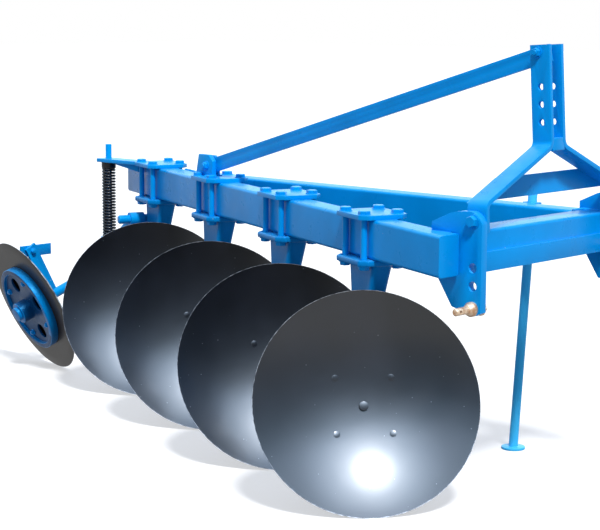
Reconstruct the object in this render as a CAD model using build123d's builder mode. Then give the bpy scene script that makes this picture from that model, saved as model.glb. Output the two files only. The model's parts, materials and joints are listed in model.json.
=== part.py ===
from build123d import *
from math import cos, radians, sin, sqrt
import os

os.makedirs("parts", exist_ok=True)

# A mounted disc plough: four tilted dished discs hang from a skew beam, which a cross beam and
# a side beam tie into a triangle behind the three-point hitch. A sprung furrow wheel trails it.
# Millimetres. +Y is the way it is pulled, +X its right-hand side, +Z up, the ground at z = 0.

# Discs
disc_count = 4
disc_1_x = 366.0
disc_1_y = 1078.8
disc_pitch = 581.0
disc_radius = 330.0
disc_dish = 75.0
disc_wall = 6.0
disc_bevel = 12.0
disc_bearing = 42.1
disc_tilt = 20.6
disc_eye_radius = 14.0
disc_bolt_circle = 116.0
disc_bolt_count = 4
disc_bolt_radius = 9.0

# Main beam, a box section skew to the way of travel
beam_angle = 22.2
beam_offset = -124.0
beam_width = 82.0
beam_height = 118.0
beam_wall = 8.0
beam_corner = 10.0
beam_bottom_z = 698.0
beam_tail = 2220.0

# Cross beam and side beam, of the same height
cross_front_ahead = 280.0
cross_depth = 102.0
cross_flat_wall = 8.0
cross_flat_height = 56.0
side_width = 82.0
cross_front_y = disc_1_y + cross_front_ahead

# Hitch
hitch_span = 775.0
hitch_right_x = disc_1_x - 78.0
plate_thickness = 25.0
plate_front_y = cross_front_y + 58.0
plate_depth = 174.0
plate_lobe_height = 62.0
plate_heel_height = 24.0
plate_below_pin = 20.0
plate_crown_start = 62.0
plate_crown_middle = 98.0
plate_crown_end = 132.0
plate_shoulder_radius = 44.0
plate_shoulder_drop = 36.0
plate_toe = 22.0
plate_toe_back = 100.0
plate_toe_rise = 20.0
hitch_pin_y = plate_front_y - 29.0
hitch_pin_z = 608.0
hitch_hole_first = 63.0
hitch_hole_pitch = 51.0
pin_shank_radius = 14.0
pin_journal_radius = 11.0
pin_journal_length = 52.0
pin_collar_radius = 21.0
pin_collar_length = 8.0
pin_cone_length = 16.0
linch_hole_radius = 5.5

pin_nut_flats = 41.0
pin_nut_height = 16.0
pin_end_proud = 6.0

# Clearances
fit_gap = 0.05
hole_gap = 0.3

# Mast
strap_width = 66.0
strap_thickness = 13.0
mast_gap = 46.0
mast_bend = 28.0
mast_lean = -3.6
mast_height = 512.0
mast_fork_height = 221.0
mast_knee_height = 80.0
link_hole_radius = 10.0
link_hole_pitch = 51.0
link_hole_drop = 222.0
leg_bolt_radius = 10.0
leg_bolt_height = 36.0
brace_height = 61.0
brace_thickness = 10.0
brace_rise = 82.0
brace_inset = 2.0
leg_start = 3.0
stay_bolt_ahead = -8.0
stay_bolt_drop = 22.0
bolt_head = 12.0
bolt_stub = 7.0
fork_web_height = 37.0
fork_web_rise = 5.5
stay_height = 50.0
stay_hang = 6.0
stay_thickness = 12.0
stay_bolt_radius = 8.0

# Disc clamps on the beam
clamp_setback = 222.0
clamp_bolt_along = 120.0
clamp_bolt_across = 110.0
clamp_bolt_radius = 10.0
clamp_length = 190.0
clamp_width = 160.0
clamp_thickness = 14.0
clamp_corner = 24.0
nut_flats = 30.0
nut_height = 16.0
flange_thickness = 18.0

# Standards and hubs
leg_sections = [
    # height, depth along the beam, width across it, share of the way to the boss
    (680.0, 165.0, 66.0, 0.0),
    (590.0, 130.0, 57.0, 0.2),
    (400.0, 100.0, 58.0, 0.6),
    (228.0, 78.0, 58.0, 1.0),
]
leg_corner = 14.0
boss_radius = 50.0
boss_length = 130.0
spindle_front = 97.0
hub_flange_radius = 138.0
hub_flange_thickness = 14.0
hub_radius = 55.0
hub_reach = 160.0
hub_clearance = 5.0
spindle_end_gap = 2.0
hub_nose_proud = 7.0
spindle_radius = 22.0

# Furrow wheel: a sharp steel disc bolted behind a cast wheel
wheel_ahead = -2227.0
wheel_right = -592.0
wheel_radius = 275.0
wheel_bearing = 103.0
wheel_tilt = 23.0
wheel_disc_inner = 120.0
wheel_disc_thickness = 8.0
wheel_bevel = 16.0
rim_radius = 172.0
rim_wall = 20.0
rim_width = 32.0
web_thickness = 10.0
web_setback = 10.0
web_hole_radius = 30.0
web_hole_circle = 103.0
web_hole_count = 4
wheel_hub_radius = 42.0
wheel_hub_front = 66.0
wheel_hub_back = 44.0
wheel_cap_radius = 28.0
wheel_cap_height = 14.0

# Axle with the scraper on it
axle_radius = 19.0
axle_front = 57.0
axle_length = 330.0
axle_collar_radius = 28.0
axle_collar_front = -50.0
axle_collar_length = 16.0
scraper_setback = 95.0
scraper_width = 50.0
scraper_thickness = 10.0
scraper_length = 232.0
scraper_lean = 29.0
scraper_bolt_drop = 22.0
scraper_bolt_radius = 6.0
blade_height = 43.0
blade_thickness = 8.0
blade_right = 50.0
blade_left = 100.0

# Sprung arm between the axle and the pivot bar behind the last standard
arm_setback = 292.0
arm_width = 34.0
arm_height = 40.0
arm_eye_radius = 30.0
arm_eye_length = 66.0
pivot_eye_radius = 26.0
pivot_eye_length = 56.0
pivot_radius = 17.0
pivot_z = 608.0
pivot_setback = 80.0
pivot_eye_right = 72.0
pivot_left_end = 40.0
pivot_right_end = 145.0

# Spring and its rod
spring_right = -843.0
spring_ahead = -2055.0
spring_radius = 22.5
spring_wire = 9.5
rod_radius = 12.0
rod_proud = 56.0
seat_radius = 34.0
seat_thickness = 10.0
seat_z = 520.0
seat_post_radius = 20.0

# Arm of the last clamp plate, which takes the spring's thrust
strut_width = 66.0
strut_overhang = 34.0

# Back stay and its lug on the third clamp
stay_clamp = 2
stay_lug_ahead = -39.0
stay_lug_height = 40.0
stay_lug_top = 32.0
stay_lug_width = 76.0
stay_lug_back = 12.0
stay_lug_thickness = 12.0
stay_overhang = 22.0
stay_nut_flats = 24.0
stay_nut_height = 12.0

# Parking stand in its sleeve on the side beam
stand_radius = 15.0
stand_ahead = -98.0
stand_lean = 3.7
stand_proud = 30.0
stand_foot_radius = 39.0
stand_foot_thickness = 8.0
sleeve_width = 43.0
sleeve_height = 110.0
sleeve_gap = 0.4

# Directions and places that several pieces share
up = Vector(0, 0, 1)
along = Vector(sin(radians(beam_angle)), cos(radians(beam_angle)), 0)
across = Vector(cos(radians(beam_angle)), -sin(radians(beam_angle)), 0)
beam_top_z = beam_bottom_z + beam_height
disc_heading = Vector(sin(radians(disc_bearing)), cos(radians(disc_bearing)), 0)
disc_axis = disc_heading * cos(radians(disc_tilt)) + up * sin(radians(disc_tilt))
disc_side = disc_heading.cross(up)
dish_radius = (disc_radius**2 + disc_dish**2) / (2 * disc_dish)
plates_apart = hitch_span - 2 * pin_collar_length
hitch_left_x = hitch_right_x - plates_apart
hitch_x = (hitch_right_x + hitch_left_x) / 2
cross_rear_y = cross_front_y - cross_depth


def plan_point(ahead, right, z=0.0):
    """A point that far ahead of the first disc along the beam, and right of the discs' line."""
    return Vector(disc_1_x, disc_1_y, z) + along * ahead + across * right


def disc_centre(number):
    """The middle of a disc's rim circle, the first disc being the front one."""
    rise = disc_radius * cos(radians(disc_tilt))
    return plan_point(-disc_pitch * number, 0, rise)


def clamp_place(number, ahead=0.0, right=0.0, z=0.0):
    """A point near a disc's clamp, measured along and across the beam from its middle."""
    return plan_point(-disc_pitch * number - clamp_setback + ahead, beam_offset + right, z)


def dish_height(radius, below=0.0):
    """How far the dished surface, or one parallel to it, lies from the rim's plane."""
    return dish_radius - disc_dish - sqrt((dish_radius + below) ** 2 - radius**2)


def axial_plane(origin, axis, side):
    """A sketch plane whose x runs out from an axis and whose y runs along it."""
    return Plane(origin=origin, x_dir=side, z_dir=side.cross(axis))


def write(piece, name):
    """Label a finished piece and write its file."""
    piece.part.label = name
    export_step(piece.part, f"parts/{name}.step")


# Main beam: closed at its square front, open at its tail
beam_half = beam_width / 2
beam_front_y = cross_front_y - 12.0


def beam_outline(inset, front_inset):
    """Four plan corners of the beam, its front cut square to the way of travel."""
    corners = []
    for right in (beam_offset - beam_half + inset, beam_offset + beam_half - inset):
        start = plan_point(0, right)
        ahead = (beam_front_y - front_inset - start.Y) / along.Y
        corners.append(plan_point(ahead, right))
    tail = beam_tail + (1.0 if inset else 0.0)
    corners.append(plan_point(-tail, beam_offset + beam_half - inset))
    corners.append(plan_point(-tail, beam_offset - beam_half + inset))
    return [(corner.X, corner.Y) for corner in corners]


with BuildPart() as main_beam:
    with BuildSketch(Plane.XY.offset(beam_bottom_z)):
        Polygon(*beam_outline(0, 0), align=None)
    extrude(amount=beam_height)
    fillet(main_beam.edges().filter_by(Axis((0, 0, 0), tuple(along))), beam_corner)
    with BuildSketch(Plane.XY.offset(beam_bottom_z + beam_wall)):
        Polygon(*beam_outline(beam_wall, beam_wall), align=None)
    extrude(amount=beam_height - 2 * beam_wall, mode=Mode.SUBTRACT)
write(main_beam, "main_beam")

with BuildPart(mode=Mode.PRIVATE) as beam_space:
    with BuildSketch(Plane.XY.offset(beam_bottom_z)):
        Polygon(*beam_outline(0, 0), align=None)
    extrude(amount=beam_height)

# Side beam: from the cross beam straight back to the main beam
side_left_x = hitch_left_x
side_right_x = side_left_x + side_width
with BuildPart() as side_beam:
    with BuildSketch(Plane.XZ.offset(-cross_rear_y)):
        with Locations(((side_left_x + side_right_x) / 2, beam_bottom_z + beam_height / 2)):
            RectangleRounded(side_width, beam_height, beam_corner)
            RectangleRounded(
                side_width - 2 * beam_wall,
                beam_height - 2 * beam_wall,
                beam_corner / 3,
                mode=Mode.SUBTRACT,
            )
    extrude(amount=disc_pitch * disc_count)
    with BuildSketch(Plane.XY.offset(beam_bottom_z)):
        face_start = plan_point(0, beam_offset - beam_half)
        cut_front = plan_point((cross_front_y - face_start.Y) / along.Y, beam_offset - beam_half)
        cut_tail = plan_point(-beam_tail - disc_pitch, beam_offset - beam_half)
        Polygon(
            (cut_front.X, cut_front.Y),
            (cut_tail.X, cut_tail.Y),
            (cut_tail.X, cut_tail.Y - disc_pitch),
            (cut_front.X + disc_pitch * disc_count, cut_tail.Y - disc_pitch),
            (cut_front.X + disc_pitch * disc_count, cut_front.Y),
            align=None,
        )
    extrude(amount=beam_height, mode=Mode.SUBTRACT)
    # Clearance holes where a clamp's bolts run down through the mitred tail
    with BuildSketch(Plane.XY.offset(beam_bottom_z)):
        for number in range(disc_count):
            for ahead in (-clamp_bolt_along / 2, clamp_bolt_along / 2):
                spot = clamp_place(number, ahead, -clamp_bolt_across / 2)
                with Locations((spot.X, spot.Y)):
                    Circle(clamp_bolt_radius + hole_gap)
    extrude(amount=beam_height, mode=Mode.SUBTRACT)
write(side_beam, "side_beam")

# Cross beam: a box beam between the hitch plates, its lower front faced with a flat bar
cross_right_x = hitch_right_x - plate_thickness
cross_left_x = hitch_left_x + plate_thickness
cross_length = cross_right_x - cross_left_x
cross_box = cross_depth - cross_flat_wall
with BuildPart() as cross_beam:
    with BuildSketch(Plane.YZ.offset(cross_left_x)):
        with Locations((cross_rear_y + cross_box / 2, beam_bottom_z + beam_height / 2)):
            RectangleRounded(cross_box, beam_height, beam_corner)
            RectangleRounded(
                cross_box - 2 * beam_wall,
                beam_height - 2 * beam_wall,
                beam_corner / 3,
                mode=Mode.SUBTRACT,
            )
    extrude(amount=cross_length)
    with BuildSketch(Plane.YZ.offset(cross_left_x)):
        with Locations((cross_front_y - cross_flat_wall / 2, beam_bottom_z + cross_flat_height / 2)):
            Rectangle(cross_flat_wall, cross_flat_height)
    extrude(amount=cross_length)
    add(beam_space.part, mode=Mode.SUBTRACT)
write(cross_beam, "cross_beam")

# Hitch plates: heel under the beam, lobe above it, three holes for the lower pin
plate_rear_y = plate_front_y - plate_depth
plate_low_z = hitch_pin_z - plate_below_pin
plate_top_z = beam_top_z + plate_lobe_height


def hitch_plate(outer_x, inward, beam_part):
    """One side plate of the hitch, cut where the beam beside it passes."""
    with BuildPart() as plate:
        with BuildSketch(Plane.YZ.offset(outer_x)):
            with BuildLine():
                lobe = Polyline(
                    (plate_rear_y, beam_bottom_z),
                    (plate_rear_y, beam_top_z + plate_heel_height),
                    (plate_rear_y + plate_crown_start, plate_top_z - plate_toe_rise / 2),
                )
                crown = ThreePointArc(
                    lobe @ 1,
                    (plate_rear_y + plate_crown_middle, plate_top_z - plate_toe_rise / 10),
                    (plate_rear_y + plate_crown_end, plate_top_z),
                )
                shoulder = RadiusArc(
                    crown @ 1,
                    (plate_front_y, plate_top_z - plate_shoulder_drop),
                    plate_shoulder_radius,
                )
                Polyline(
                    shoulder @ 1,
                    (plate_front_y, plate_low_z + plate_toe / 2),
                    (plate_front_y - plate_toe, plate_low_z),
                    (plate_front_y - plate_toe_back, plate_low_z + plate_toe_rise),
                    (plate_rear_y + plate_toe, beam_bottom_z - plate_toe / 2),
                    (plate_rear_y, beam_bottom_z),
                )
            make_face()
            with Locations((hitch_pin_y, hitch_pin_z)):
                Circle(pin_shank_radius + fit_gap, mode=Mode.SUBTRACT)
            with Locations(
                (hitch_pin_y, hitch_pin_z + hitch_hole_first),
                (hitch_pin_y, hitch_pin_z + hitch_hole_first + hitch_hole_pitch),
            ):
                Circle(pin_shank_radius, mode=Mode.SUBTRACT)
            with Locations((hitch_pin_y, beam_top_z + leg_bolt_height)):
                Circle(leg_bolt_radius + hole_gap, mode=Mode.SUBTRACT)
        extrude(amount=inward * plate_thickness)
        add(beam_part, mode=Mode.SUBTRACT)
    return plate


with BuildPart(mode=Mode.PRIVATE) as side_space:
    with BuildSketch(Plane.XZ.offset(-cross_rear_y)):
        with Locations(((side_left_x + side_right_x) / 2, beam_bottom_z + beam_height / 2)):
            Rectangle(side_width, beam_height)
    extrude(amount=plate_depth)

hitch_plate_right = hitch_plate(hitch_right_x, -1, beam_space.part)
write(hitch_plate_right, "hitch_plate_right")
hitch_plate_left = hitch_plate(hitch_left_x, 1, side_space.part)
write(hitch_plate_left, "hitch_plate_left")

# Lower link pins: collar and cone outside the plate, shank through it, nut inside
pin_profile = [
    # distance out from the plate's outer face, radius
    (-plate_thickness - pin_nut_height - pin_end_proud, 0.0),
    (-plate_thickness - pin_nut_height - pin_end_proud, pin_shank_radius),
    (0.0, pin_shank_radius),
    (0.0, pin_collar_radius),
    (pin_collar_length, pin_collar_radius),
    (pin_collar_length + pin_cone_length, pin_journal_radius + 2.0),
    (pin_collar_length + pin_cone_length, pin_journal_radius),
    (pin_collar_length + pin_cone_length + pin_journal_length - 3.0, pin_journal_radius),
    (pin_collar_length + pin_cone_length + pin_journal_length, pin_journal_radius - 3.0),
    (pin_collar_length + pin_cone_length + pin_journal_length, 0.0),
]


def hitch_pin(outer_x, outward):
    """A turned pin on the side plate, drilled for its linch pin."""
    nut_x = outer_x - outward * plate_thickness
    drill_x = outer_x + outward * (pin_collar_length + pin_cone_length + pin_journal_length - 14.0)
    with BuildPart() as pin:
        root = Vector(outer_x, hitch_pin_y, hitch_pin_z)
        with BuildSketch(Plane(origin=root, x_dir=(outward, 0, 0), z_dir=(0, -outward, 0))):
            Polygon(*pin_profile, align=None)
        revolve(axis=Axis(root, (1, 0, 0)))
        nut_plane = Plane(origin=(nut_x, hitch_pin_y, hitch_pin_z), x_dir=(0, 1, 0), z_dir=(-outward, 0, 0))
        with BuildSketch(nut_plane):
            RegularPolygon(pin_nut_flats / 2, 6, major_radius=False)
        extrude(amount=pin_nut_height)
        with BuildSketch(Plane(origin=(drill_x, hitch_pin_y, hitch_pin_z), z_dir=(0, 1, 0))):
            Circle(linch_hole_radius)
        extrude(amount=2 * pin_journal_radius, both=True, mode=Mode.SUBTRACT)
    return pin


write(hitch_pin(hitch_right_x, 1), "hitch_pin_right")
write(hitch_pin(hitch_left_x, -1), "hitch_pin_left")

# Mast: two bent flat bars that stand on the hitch plates and meet as an upright fork
mast_y = plate_front_y - strap_width / 2
mast_up = Vector(0, sin(radians(mast_lean)), cos(radians(mast_lean)))
mast_back = Vector(0, -cos(radians(mast_lean)), sin(radians(mast_lean)))
mast_plane = Plane(origin=(hitch_x, mast_y, beam_top_z), x_dir=(1, 0, 0), z_dir=mast_back)
leg_outer = plates_apart / 2 - plate_thickness
fork_inner = mast_gap / 2
stay_bolt_height = mast_height - stay_bolt_drop
link_hole_top = mast_height - link_hole_drop + 2 * link_hole_pitch


def strap_line(side):
    """The middle of the bent bar's thickness: foot, knee, fork and top."""
    foot_x = side * (leg_outer - strap_thickness / 2)
    fork_x = side * (fork_inner + strap_thickness / 2)
    return [
        (foot_x, leg_start),
        (foot_x, mast_knee_height),
        (fork_x, mast_fork_height),
        (fork_x, mast_height),
    ]


def bent_leg(side, name):
    """One mast leg with its plate bolt hole, top link holes and stay bolt hole."""
    with BuildPart() as leg:
        with BuildSketch(mast_plane):
            with BuildLine():
                FilletPolyline(*strap_line(side), radius=mast_bend)
            trace(line_width=strap_thickness)
        extrude(amount=strap_width / 2, both=True)
        side_plane = Plane(origin=mast_plane.origin, x_dir=mast_back * -1, z_dir=(1, 0, 0))
        with BuildSketch(side_plane):
            with Locations(*[(0.0, link_hole_top - row * link_hole_pitch) for row in range(3)]):
                Circle(link_hole_radius)
            with Locations((stay_bolt_ahead, stay_bolt_height)):
                Circle(stay_bolt_radius + hole_gap)
        extrude(amount=side * (fork_inner + 2 * strap_thickness), mode=Mode.SUBTRACT)
        bolt_place = Vector(hitch_x, hitch_pin_y, beam_top_z + leg_bolt_height)
        with BuildSketch(Plane(origin=bolt_place, z_dir=(1, 0, 0))):
            Circle(leg_bolt_radius + hole_gap)
        extrude(amount=side * leg_outer, mode=Mode.SUBTRACT)
    write(leg, name)
    return leg.part


right_leg = bent_leg(1, "mast_leg_right")
left_leg = bent_leg(-1, "mast_leg_left")

# Brace welded flat across the backs of the two legs, its ends cut to their slope
leg_run = leg_outer - strap_thickness - fork_inner
leg_slope = leg_run / (mast_fork_height - mast_knee_height)
brace_low_end = leg_outer - brace_inset - (brace_rise - mast_knee_height) * leg_slope
brace_top = brace_rise + brace_height
brace_top_end = brace_low_end - brace_height * leg_slope
with BuildPart() as mast_brace:
    with BuildSketch(mast_plane.offset(strap_width / 2)):
        Polygon(
            (-brace_low_end, brace_rise),
            (brace_low_end, brace_rise),
            (brace_top_end, brace_top),
            (-brace_top_end, brace_top),
            align=None,
        )
    extrude(amount=brace_thickness)
write(mast_brace, "mast_brace")

# Web that fills the crotch between the straps where the fork begins
with BuildPart() as fork_web:
    with BuildSketch(mast_plane):
        with Locations((0, mast_fork_height + fork_web_rise)):
            Rectangle(mast_gap + strap_thickness, fork_web_height)
    extrude(amount=strap_width / 2, both=True)
    add([right_leg, left_leg], mode=Mode.SUBTRACT)
write(fork_web, "fork_web")


def bolt(head_place, direction, radius, grip, flats, head):
    """A bolt through a grip, with a hexagon head, a nut of the same size and a stub past it."""
    plane = Plane(origin=head_place, z_dir=direction)
    with BuildPart() as fastener:
        with BuildSketch(plane):
            Circle(radius)
        extrude(amount=grip + head + bolt_stub)
        with BuildSketch(plane.offset(-head), plane.offset(grip)):
            RegularPolygon(flats / 2, 6, major_radius=False)
        extrude(amount=head)
    return fastener.part


# Disc clamps
last = disc_count - 1


def clamp_plane(number, z):
    """The level plane of a clamp, its x along the beam."""
    return Plane(origin=clamp_place(number, z=z), x_dir=along, z_dir=up)


def clamp_outline():
    """A clamp plate's chamfered rectangle, without its holes."""
    outline = Rectangle(clamp_length, clamp_width)
    chamfer(outline.vertices(), clamp_corner)


spring_place = Vector(disc_1_x + spring_right, disc_1_y + spring_ahead, 0)
strut_reach = spring_place - clamp_place(last)
for number in range(disc_count):
    with BuildPart() as clamp_plate:
        with BuildSketch(clamp_plane(number, beam_top_z)):
            clamp_outline()
        extrude(amount=clamp_thickness)
        if number == last:
            strut_plane = Plane(origin=clamp_place(last, z=beam_top_z), x_dir=strut_reach, z_dir=up)
            with BuildSketch(strut_plane):
                Rectangle(
                    strut_reach.length + strut_overhang,
                    strut_width,
                    align=(Align.MIN, Align.CENTER),
                )
                with Locations((strut_reach.length, 0)):
                    Circle(rod_radius + hole_gap, mode=Mode.SUBTRACT)
            extrude(amount=clamp_thickness)
        with BuildSketch(clamp_plane(number, beam_top_z)):
            with GridLocations(clamp_bolt_along, clamp_bolt_across, 2, 2):
                Circle(clamp_bolt_radius + hole_gap)
        extrude(amount=clamp_thickness, mode=Mode.SUBTRACT)
    write(clamp_plate, f"clamp_plate_{number + 1}")

bolt_grip = clamp_thickness + beam_height + flange_thickness
for number in range(disc_count):
    with BuildPart() as clamp_bolts:
        for ahead in (-clamp_bolt_along / 2, clamp_bolt_along / 2):
            for right in (-clamp_bolt_across / 2, clamp_bolt_across / 2):
                top = clamp_place(number, ahead, right, beam_top_z + clamp_thickness)
                add(bolt(top, (0, 0, -1), clamp_bolt_radius, bolt_grip, nut_flats, nut_height))
    write(clamp_bolts, f"clamp_bolts_{number + 1}")

# Standards: flange under the beam, tapering leg, boss and spindle behind the disc
boss_start = hub_reach + hub_clearance
boss_middle = boss_start + boss_length / 2
for number in range(disc_count):
    centre = disc_centre(number)
    foot = centre - disc_axis * boss_middle
    lean = Vector(foot.X, foot.Y, 0) - clamp_place(number)
    with BuildPart() as standard:
        with BuildSketch(clamp_plane(number, beam_bottom_z)):
            clamp_outline()
            with GridLocations(clamp_bolt_along, clamp_bolt_across, 2, 2):
                Circle(clamp_bolt_radius + hole_gap, mode=Mode.SUBTRACT)
        extrude(amount=-flange_thickness)
        for z, depth, width, share in leg_sections:
            spot = clamp_place(number, z=z) + lean * share
            with BuildSketch(Plane(origin=spot, x_dir=along, z_dir=up)):
                RectangleRounded(depth, width, leg_corner)
        loft(ruled=True)
        boss_face = Plane(origin=centre - disc_axis * boss_start, x_dir=disc_side, z_dir=disc_axis)
        with BuildSketch(boss_face):
            Circle(boss_radius)
        extrude(amount=-boss_length)
        with BuildSketch(boss_face):
            Circle(spindle_radius)
        extrude(amount=boss_start - spindle_front)
        if number == last:
            bar_end = clamp_place(last, -pivot_setback, -pivot_left_end, pivot_z)
            with BuildSketch(Plane(origin=bar_end, x_dir=up, z_dir=across)):
                Circle(pivot_radius + fit_gap)
            extrude(amount=pivot_left_end + pivot_right_end, mode=Mode.SUBTRACT)
    write(standard, f"standard_{number + 1}")

# Hubs: each takes the back of its disc and turns on the standard's spindle
seat_gap = disc_wall + hole_gap
flange_low = dish_height(hub_flange_radius, seat_gap)
flange_back = flange_low - hub_flange_thickness
bore_end = -spindle_front + spindle_end_gap
for number in range(disc_count):
    centre = disc_centre(number)
    with BuildPart() as hub:
        with BuildSketch(axial_plane(centre, disc_axis, disc_side)):
            with BuildLine():
                seat = ThreePointArc(
                    (disc_eye_radius - hole_gap, dish_height(disc_eye_radius, seat_gap)),
                    (hub_flange_radius / 2, dish_height(hub_flange_radius / 2, seat_gap)),
                    (hub_flange_radius, flange_low),
                )
                Polyline(
                    seat @ 1,
                    (hub_flange_radius, flange_back),
                    (hub_flange_radius - 38, flange_back - 3),
                    (hub_radius + 15, -hub_reach + 48),
                    (hub_radius, -hub_reach + 32),
                    (hub_radius, -hub_reach),
                    (spindle_radius + fit_gap, -hub_reach),
                    (spindle_radius + fit_gap, bore_end),
                    (0, bore_end),
                    (0, -disc_dish + hub_nose_proud),
                    (disc_eye_radius - hole_gap, -disc_dish + hub_nose_proud),
                    seat @ 0,
                )
            make_face()
        revolve(axis=Axis(centre, disc_axis))
        with BuildSketch(Plane(origin=centre, x_dir=disc_side, z_dir=disc_axis)):
            with PolarLocations(disc_bolt_circle, disc_bolt_count, start_angle=45):
                Circle(disc_bolt_radius)
        extrude(amount=-hub_reach, mode=Mode.SUBTRACT)
    write(hub, f"disc_hub_{number + 1}")

# Discs: spherical dishes, bevelled behind to a sharp rim
back_radius = disc_radius - disc_bevel
middle_radius = (disc_eye_radius + disc_radius) / 2
for number in range(disc_count):
    centre = disc_centre(number)
    with BuildPart() as disc:
        with BuildSketch(axial_plane(centre, disc_axis, disc_side)):
            with BuildLine():
                front = ThreePointArc(
                    (disc_eye_radius, dish_height(disc_eye_radius)),
                    (middle_radius, dish_height(middle_radius)),
                    (disc_radius, 0),
                )
                back = ThreePointArc(
                    (disc_eye_radius, dish_height(disc_eye_radius, disc_wall)),
                    (middle_radius, dish_height(middle_radius, disc_wall)),
                    (back_radius, dish_height(back_radius, disc_wall)),
                )
                Line(front @ 0, back @ 0)
                Line(front @ 1, back @ 1)
            make_face()
        revolve(axis=Axis(centre, disc_axis))
        with BuildSketch(Plane(origin=centre, x_dir=disc_side, z_dir=disc_axis)):
            with PolarLocations(disc_bolt_circle, disc_bolt_count, start_angle=45):
                Circle(disc_bolt_radius)
        extrude(amount=-disc_dish - disc_wall, mode=Mode.SUBTRACT)
    write(disc, f"disc_{number + 1}")

# Back stay: a flat bar on edge from the mast's top down to the third clamp
stay_high = mast_plane.origin + mast_up * stay_bolt_height - mast_back * stay_bolt_ahead
stay_low = clamp_place(stay_clamp, stay_lug_ahead, 0, beam_top_z + clamp_thickness + stay_lug_height)
stay_run = stay_high - stay_low
stay_plan = Vector(stay_run.X, stay_run.Y, 0).normalized()
stay_right = stay_plan.cross(up)
with BuildPart() as back_stay:
    with BuildSketch(Plane(origin=stay_low, x_dir=stay_run, z_dir=stay_right)):
        with Locations((stay_run.length / 2, -stay_hang)):
            Rectangle(stay_run.length + 2 * stay_overhang, stay_height)
        Circle(stay_bolt_radius + hole_gap, mode=Mode.SUBTRACT)
    extrude(amount=stay_thickness / 2, both=True)
    with BuildSketch(Plane(origin=stay_high, z_dir=(1, 0, 0))):
        Circle(stay_bolt_radius + hole_gap)
    extrude(amount=mast_gap / 2, both=True, mode=Mode.SUBTRACT)
write(back_stay, "back_stay")

# Lug on the third clamp plate, beside the stay's foot
with BuildPart() as stay_lug:
    lug_plane = Plane(origin=stay_low, x_dir=stay_plan, z_dir=stay_right)
    with BuildSketch(lug_plane.offset(-stay_thickness / 2)):
        with Locations((-stay_lug_back, (stay_lug_top - stay_lug_height) / 2)):
            lug = Rectangle(stay_lug_width, stay_lug_height + stay_lug_top)
        chamfer(lug.vertices().sort_by(Axis.Y)[-2:], stay_lug_width / 4)
        Circle(stay_bolt_radius + hole_gap, mode=Mode.SUBTRACT)
    extrude(amount=-stay_lug_thickness)
write(stay_lug, "stay_lug")

# Bolts of the mast: one through each plate and leg, one at each end of the stay
fork_outer = fork_inner + strap_thickness
leg_bolt_z = beam_top_z + leg_bolt_height
with BuildPart() as mast_bolts:
    for outer_x, inward in ((hitch_right_x, -1), (hitch_left_x, 1)):
        add(
            bolt(
                Vector(outer_x, hitch_pin_y, leg_bolt_z),
                (inward, 0, 0),
                leg_bolt_radius,
                plate_thickness + strap_thickness,
                nut_flats,
                bolt_head,
            )
        )
    for head_place, direction, grip in (
        (stay_high + Vector(fork_outer, 0, 0), (-1, 0, 0), 2 * fork_outer),
        (
            stay_low + stay_right * (stay_thickness / 2),
            stay_right * -1,
            stay_thickness + stay_lug_thickness,
        ),
    ):
        add(bolt(head_place, direction, stay_bolt_radius, grip, stay_nut_flats, stay_nut_height))
write(mast_bolts, "mast_bolts")

# Furrow wheel: its axis runs right and down, so that its top leans to the right
wheel_heading = Vector(sin(radians(wheel_bearing)), cos(radians(wheel_bearing)), 0)
wheel_axis = wheel_heading * cos(radians(wheel_tilt)) - up * sin(radians(wheel_tilt))
wheel_side = wheel_heading.cross(up)
wheel_centre = Vector(
    disc_1_x + wheel_right, disc_1_y + wheel_ahead, wheel_radius * cos(radians(wheel_tilt))
)
wheel_section = axial_plane(wheel_centre, wheel_axis, wheel_side)
wheel_face = Plane(origin=wheel_centre, x_dir=wheel_side, z_dir=wheel_axis)
with BuildPart() as furrow_disc:
    with BuildSketch(wheel_section):
        Polygon(
            (wheel_disc_inner, -wheel_disc_thickness),
            (wheel_radius - wheel_bevel, -wheel_disc_thickness),
            (wheel_radius, 0),
            (wheel_disc_inner, 0),
            align=None,
        )
    revolve(axis=Axis(wheel_centre, wheel_axis))
write(furrow_disc, "furrow_disc")

web_front = web_setback + web_thickness
rim_inner = rim_radius - rim_wall
bore_radius = axle_radius + fit_gap
bore_front = axle_front + spindle_end_gap
with BuildPart() as furrow_wheel:
    with BuildSketch(wheel_section):
        Polygon(
            (0, wheel_hub_front + wheel_cap_height),
            (wheel_cap_radius, wheel_hub_front + wheel_cap_height),
            (wheel_cap_radius, wheel_hub_front),
            (wheel_hub_radius, wheel_hub_front),
            (wheel_hub_radius, web_front),
            (rim_inner, web_front),
            (rim_inner, rim_width),
            (rim_radius, rim_width),
            (rim_radius, 0),
            (rim_inner, 0),
            (rim_inner, web_setback),
            (wheel_hub_radius, web_setback),
            (wheel_hub_radius, -wheel_hub_back),
            (bore_radius, -wheel_hub_back),
            (bore_radius, bore_front),
            (0, bore_front),
            align=None,
        )
    revolve(axis=Axis(wheel_centre, wheel_axis))
    with BuildSketch(wheel_face):
        with PolarLocations(web_hole_circle, web_hole_count, start_angle=20):
            Circle(web_hole_radius)
    extrude(amount=web_front, mode=Mode.SUBTRACT)
write(furrow_wheel, "furrow_wheel")

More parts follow.
